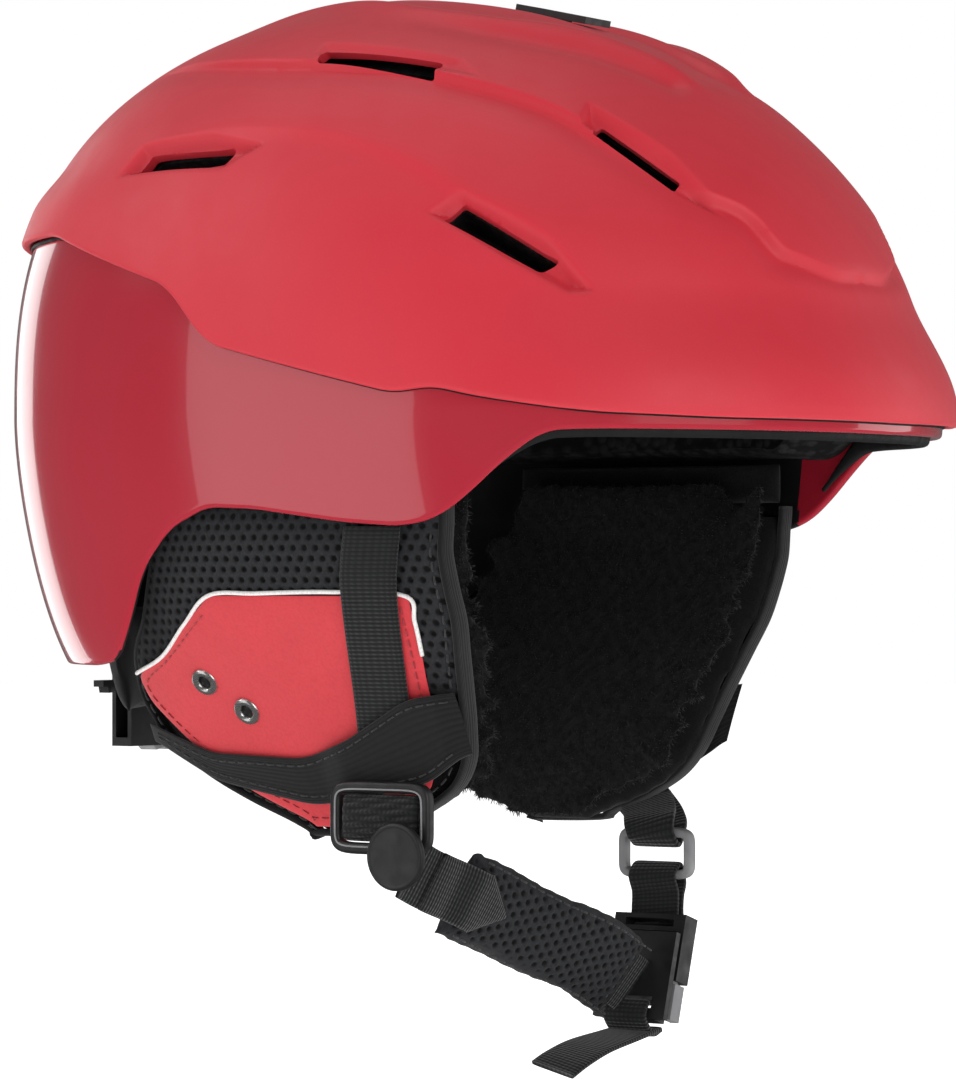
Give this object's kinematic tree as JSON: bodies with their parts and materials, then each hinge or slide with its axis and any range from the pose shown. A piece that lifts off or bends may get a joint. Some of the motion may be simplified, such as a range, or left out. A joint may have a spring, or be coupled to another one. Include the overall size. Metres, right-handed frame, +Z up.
{
  "type": "ski helmet",
  "caption": "Hard-shell ski helmet with brim, vents, soft ear pads, webbing chin strap and buckle, nape fit dial, vent slider and goggle strap keeper.",
  "frame": {"origin": "on the middle plane, level with the brow (the brim's lower edge), midway along the shell, where the wearer's head sits", "axes": "+Z up, the helmet faces -Y, +X towards the wearer's left"},
  "size_m": [0.2184, 0.2907, 0.3032],
  "materials": {
    "matte_shell": "matte",
    "gloss_shell": "gloss",
    "foam": "matte",
    "liner_fabric": "matte",
    "pad_fabric": "matte",
    "fleece": "matte",
    "red_panel": "satin",
    "eyelet_metal": "polished",
    "webbing": "matte",
    "elastic": "matte",
    "black_plastic": "satin",
    "grey_plastic": "satin",
    "trim_rubber": "satin"
  },
  "bodies": {
    "shell": {"upper_shell": "matte_shell", "lower_shell": "gloss_shell", "foam_liner": "foam", "brow_pad": "liner_fabric", "side_pad_right": "liner_fabric", "side_pad_left": "liner_fabric", "rear_pad": "liner_fabric", "crown_pad_right": "liner_fabric", "crown_pad_left": "liner_fabric", "brim_trim": "trim_rubber", "nape_pad": "pad_fabric", "ear_tab_right": "pad_fabric", "ear_tab_left": "pad_fabric", "fit_housing": "black_plastic", "fit_yoke": "black_plastic", "goggle_base": "black_plastic", "goggle_stud": "eyelet_metal"},
    "vent_control": {"slider_button": "black_plastic", "vent_shutter": "black_plastic"},
    "dial": {"fit_dial": "black_plastic", "fit_pinion": "black_plastic"},
    "band_right": {"fit_band_right": "black_plastic"},
    "band_left": {"fit_band_left": "black_plastic"},
    "keeper_strap": {"goggle_strap": "elastic", "goggle_cap": "black_plastic"},
    "ear_flap_right": {"ear_pad_right": "pad_fabric", "ear_fleece_right": "fleece", "ear_panel_right": "red_panel", "eyelet_right_rear": "eyelet_metal", "eyelet_right_front": "eyelet_metal", "side_strap_right": "webbing", "ear_band_right": "elastic", "divider_loop_right": "black_plastic", "strap_fold_right": "webbing", "divider_disc": "black_plastic"},
    "ear_flap_left": {"ear_pad_left": "pad_fabric", "ear_fleece_left": "fleece", "ear_panel_left": "red_panel", "eyelet_left_rear": "eyelet_metal", "eyelet_left_front": "eyelet_metal", "side_strap_left": "webbing", "ear_band_left": "elastic", "strap_fold_left": "webbing", "divider_loop_left": "grey_plastic"},
    "chin_strap": {"chin_webbing": "webbing", "chin_pad": "pad_fabric", "strap_tail": "webbing", "buckle_tongue": "black_plastic"},
    "socket_strap": {"buckle_webbing": "webbing", "buckle_socket": "black_plastic"},
    "tab_front": {"buckle_tab_front": "grey_plastic"},
    "tab_rear": {"buckle_tab_rear": "grey_plastic"}
  },
  "joints": [
    {"name": "vent_slide", "type": "slide", "parent": "shell", "child": "vent_control", "axis": [0, 0.9755, 0.2198], "range_m": [0, 0.01]},
    {"name": "dial_turn", "type": "hinge", "parent": "shell", "child": "dial", "pos_m": [0, 0.11, -0.083], "axis": [0, 1, 0], "range_deg": [0, 90]},
    {"name": "band_right_slide", "type": "slide", "parent": "shell", "child": "band_right", "axis": [1, 0, 0], "range_m": [0, 0.0079]},
    {"name": "band_left_slide", "type": "slide", "parent": "shell", "child": "band_left", "axis": [-1, 0, 0], "range_m": [0, 0.0079]},
    {"name": "keeper_lift", "type": "hinge", "parent": "shell", "child": "keeper_strap", "pos_m": [0, 0.14358, 0.03685], "axis": [1, 0, 0], "range_deg": [0, 110]},
    {"name": "ear_right_flex", "type": "hinge", "parent": "shell", "child": "ear_flap_right", "pos_m": [-0.0975, 0, -0.0236], "axis": [0, 1, 0], "range_deg": [0, 8], "stiffness_Nm_per_rad": 3},
    {"name": "ear_left_flex", "type": "hinge", "parent": "shell", "child": "ear_flap_left", "pos_m": [0.0975, 0, -0.0236], "axis": [0, -1, 0], "range_deg": [0, 8], "stiffness_Nm_per_rad": 3},
    {"name": "chin_strap_swing", "type": "hinge", "parent": "ear_flap_right", "child": "chin_strap", "pos_m": [-0.0654, -0.022, -0.1246], "axis": [0, 1, 0], "range_deg": [0, 60]},
    {"name": "socket_swing", "type": "hinge", "parent": "ear_flap_left", "child": "socket_strap", "pos_m": [0.0504, -0.029, -0.1335], "axis": [0, -1, 0], "range_deg": [0, 40]},
    {"name": "tab_front_press", "type": "slide", "parent": "chin_strap", "child": "tab_front", "axis": [0, 1, 0], "range_m": [0, 0.0012], "stiffness_N_per_m": 400},
    {"name": "tab_rear_press", "type": "slide", "parent": "chin_strap", "child": "tab_rear", "axis": [0, -1, 0], "range_m": [0, 0.0012], "stiffness_N_per_m": 400}
  ],
  "couplings": [
    {"joint": "band_right_slide", "follows": "dial_turn", "m_per_rad": 0.005},
    {"joint": "band_left_slide", "follows": "dial_turn", "m_per_rad": 0.005},
    {"joint": "tab_rear_press", "follows": "tab_front_press", "ratio": 1}
  ]
}
